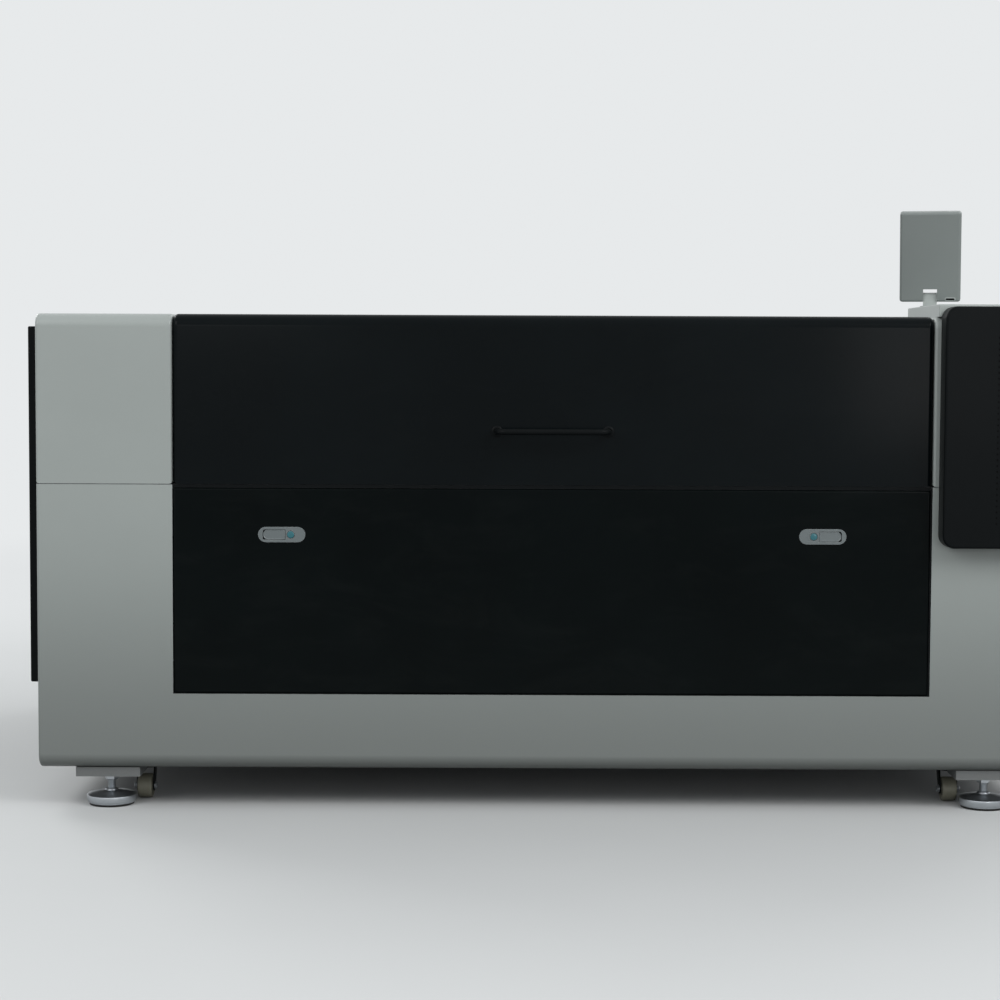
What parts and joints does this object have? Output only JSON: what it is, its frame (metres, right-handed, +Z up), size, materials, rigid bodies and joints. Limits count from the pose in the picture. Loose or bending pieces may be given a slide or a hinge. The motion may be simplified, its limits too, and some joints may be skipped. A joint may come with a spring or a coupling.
{
  "type": "fiber laser cutting machine",
  "caption": "Enclosed flatbed laser cutter: white sheet-metal cabinet, lift-up black lid, scrap drawer, gantry over a slat bed, console, feet and casters.",
  "frame": {"origin": "on the floor, under the middle of the machine's bounding box", "axes": "+X to the right as an operator sees the machine from the front, +Y to the rear, +Z up; the lid, drawer and controls face -Y"},
  "size_m": [2.152, 1.644, 1.2421],
  "materials": {
    "white_paint": "fine-textured white powder coat",
    "black_gloss": "glossy black paint",
    "black_satin": "satin black paint",
    "frame_paint": "dark grey frame paint",
    "zinc": "zinc-plated steel",
    "mild_steel": "bare laser-cut steel",
    "machined_aluminium": "machined aluminium",
    "nylon": "beige nylon",
    "grey_plastic": "fine-grained grey plastic",
    "screen_glass": "dark glossy screen",
    "red_plastic": "glossy red plastic",
    "green_plastic": "glossy green plastic",
    "teal_plastic": "teal plastic"
  },
  "bodies": {
    "root": {"base_frame": "frame_paint", "cabinet_shell": "white_paint", "left_top_cover": "white_paint", "right_top_cover": "white_paint", "rear_top_cover": "white_paint", "fixed_hinge_leaf": "zinc", "left_drawer_runner": "zinc", "right_drawer_runner": "zinc", "slat_bed": "mild_steel", "left_rail_beam": "machined_aluminium", "right_rail_beam": "machined_aluminium", "laser_source": "black_satin", "electrical_plate": "zinc", "console_riser": "white_paint", "control_box": "black_satin", "monitor_post": "white_paint", "left_side_panel": "black_satin", "right_side_panel": "black_satin", "rear_louvre_panel": "white_paint", "exhaust_collar": "zinc", "power_inlet": "grey_plastic", "front_left_foot": "zinc", "front_right_foot": "zinc", "rear_left_foot": "zinc", "rear_right_foot": "zinc"},
    "lid": {"lid_panel": "black_gloss", "lid_handle": "black_satin", "lid_hinge_leaf": "zinc"},
    "left_spring": {"left_spring_cylinder": "black_satin"},
    "left_rod": {"left_spring_rod": "zinc"},
    "right_spring": {"right_spring_cylinder": "black_satin"},
    "right_rod": {"right_spring_rod": "zinc"},
    "drawer": {"drawer_front": "black_gloss", "drawer_tray": "frame_paint", "left_latch_bezel": "grey_plastic", "right_latch_bezel": "grey_plastic"},
    "left_paddle": {"left_latch_paddle": "grey_plastic"},
    "right_paddle": {"right_latch_paddle": "grey_plastic"},
    "left_button": {"left_latch_button": "teal_plastic"},
    "right_button": {"right_latch_button": "teal_plastic"},
    "gantry": {"gantry_beam": "machined_aluminium"},
    "head": {"head_carriage": "machined_aluminium"},
    "nozzle": {"cutting_head": "black_satin"},
    "neck": {"monitor_neck": "white_paint"},
    "monitor": {"monitor_housing": "grey_plastic", "monitor_screen": "screen_glass"},
    "stop": {"emergency_stop": "red_plastic"},
    "start": {"start_button": "green_plastic"},
    "key": {"key_switch": "zinc"},
    "front_left_fork": {"front_left_caster_fork": "black_satin"},
    "front_left_wheel": {"front_left_caster_wheel": "nylon"},
    "front_right_fork": {"front_right_caster_fork": "black_satin"},
    "front_right_wheel": {"front_right_caster_wheel": "nylon"},
    "rear_left_fork": {"rear_left_caster_fork": "black_satin"},
    "rear_left_wheel": {"rear_left_caster_wheel": "nylon"},
    "rear_right_fork": {"rear_right_caster_fork": "black_satin"},
    "rear_right_wheel": {"rear_right_caster_wheel": "nylon"}
  },
  "joints": [
    {"name": "lid_hinge", "type": "hinge", "parent": "root", "child": "lid", "pos_m": [0.005, 0.45, 1.0063], "axis": [-1, 0, 0], "range_deg": [0, 70]},
    {"name": "left_spring_swing", "type": "hinge", "parent": "root", "child": "left_spring", "pos_m": [-0.738, 0.3, 0.7], "axis": [-1, 0, 0], "range_deg": [0, 53.6]},
    {"name": "left_rod_slide", "type": "slide", "parent": "left_spring", "child": "left_rod", "axis": [0, -0.8689, 0.4949], "range_m": [0, 0.3415]},
    {"name": "right_spring_swing", "type": "hinge", "parent": "root", "child": "right_spring", "pos_m": [0.748, 0.3, 0.7], "axis": [-1, 0, 0], "range_deg": [0, 53.6]},
    {"name": "right_rod_slide", "type": "slide", "parent": "right_spring", "child": "right_rod", "axis": [0, -0.8689, 0.4949], "range_m": [0, 0.3415]},
    {"name": "drawer_slide", "type": "slide", "parent": "root", "child": "drawer", "axis": [0, -1, 0], "range_m": [0, 0.75]},
    {"name": "left_paddle_hinge", "type": "hinge", "parent": "drawer", "child": "left_paddle", "pos_m": [-0.569, -0.7455, 0.559], "axis": [0, 0, -1], "range_deg": [0, 50]},
    {"name": "right_paddle_hinge", "type": "hinge", "parent": "drawer", "child": "right_paddle", "pos_m": [0.579, -0.7455, 0.559], "axis": [0, 0, 1], "range_deg": [0, 50]},
    {"name": "left_button_push", "type": "slide", "parent": "drawer", "child": "left_button", "axis": [0, 1, 0], "range_m": [0, 0.003], "stiffness_N_per_m": 300},
    {"name": "right_button_push", "type": "slide", "parent": "drawer", "child": "right_button", "axis": [0, 1, 0], "range_m": [0, 0.003], "stiffness_N_per_m": 300},
    {"name": "gantry_slide", "type": "slide", "parent": "root", "child": "gantry", "axis": [0, -1, 0], "range_m": [0, 0.86]},
    {"name": "head_slide", "type": "slide", "parent": "gantry", "child": "head", "axis": [1, 0, 0], "range_m": [-0.5, 0.5]},
    {"name": "nozzle_lift", "type": "slide", "parent": "head", "child": "nozzle", "axis": [0, 0, 1], "range_m": [-0.042, 0.01]},
    {"name": "monitor_swivel", "type": "hinge", "parent": "root", "child": "neck", "pos_m": [0.852, -0.25, 1.0003], "axis": [0, 0, 1], "range_deg": [-170, 170]},
    {"name": "monitor_tilt", "type": "hinge", "parent": "neck", "child": "monitor", "pos_m": [0.852, -0.25, 1.0583], "axis": [0.9781, -0.2079, 0], "range_deg": [-15, 15]},
    {"name": "stop_push", "type": "slide", "parent": "root", "child": "stop", "axis": [0, 1, 0], "range_m": [0, 0.006]},
    {"name": "start_push", "type": "slide", "parent": "root", "child": "start", "axis": [0, 1, 0], "range_m": [0, 0.004], "stiffness_N_per_m": 400},
    {"name": "key_turn", "type": "hinge", "parent": "root", "child": "key", "pos_m": [0.97, -0.8, 0.73], "axis": [0, 1, 0], "range_deg": [0, 90]},
    {"name": "front_left_swivel", "type": "hinge", "parent": "root", "child": "front_left_fork", "pos_m": [-0.832, -0.607, 0.0762], "axis": [0, 0, 1], "continuous": true},
    {"name": "front_left_spin", "type": "hinge", "parent": "front_left_fork", "child": "front_left_wheel", "pos_m": [-0.832, -0.627, 0.0265], "axis": [1, 0, 0], "continuous": true},
    {"name": "front_right_swivel", "type": "hinge", "parent": "root", "child": "front_right_fork", "pos_m": [0.832, -0.607, 0.0762], "axis": [0, 0, 1], "continuous": true},
    {"name": "front_right_spin", "type": "hinge", "parent": "front_right_fork", "child": "front_right_wheel", "pos_m": [0.832, -0.627, 0.0265], "axis": [1, 0, 0], "continuous": true},
    {"name": "rear_left_swivel", "type": "hinge", "parent": "root", "child": "rear_left_fork", "pos_m": [-0.832, 0.607, 0.0762], "axis": [0, 0, 1], "continuous": true},
    {"name": "rear_left_spin", "type": "hinge", "parent": "rear_left_fork", "child": "rear_left_wheel", "pos_m": [-0.832, 0.587, 0.0265], "axis": [1, 0, 0], "continuous": true},
    {"name": "rear_right_swivel", "type": "hinge", "parent": "root", "child": "rear_right_fork", "pos_m": [0.832, 0.607, 0.0762], "axis": [0, 0, 1], "continuous": true},
    {"name": "rear_right_spin", "type": "hinge", "parent": "rear_right_fork", "child": "rear_right_wheel", "pos_m": [0.832, 0.587, 0.0265], "axis": [1, 0, 0], "continuous": true}
  ],
  "couplings": [
    {"joint": "left_spring_swing", "follows": "lid_hinge", "ratio": 0.76435},
    {"joint": "left_rod_slide", "follows": "lid_hinge", "m_per_rad": 0.27931},
    {"joint": "right_spring_swing", "follows": "lid_hinge", "ratio": 0.76435},
    {"joint": "right_rod_slide", "follows": "lid_hinge", "m_per_rad": 0.27931}
  ]
}
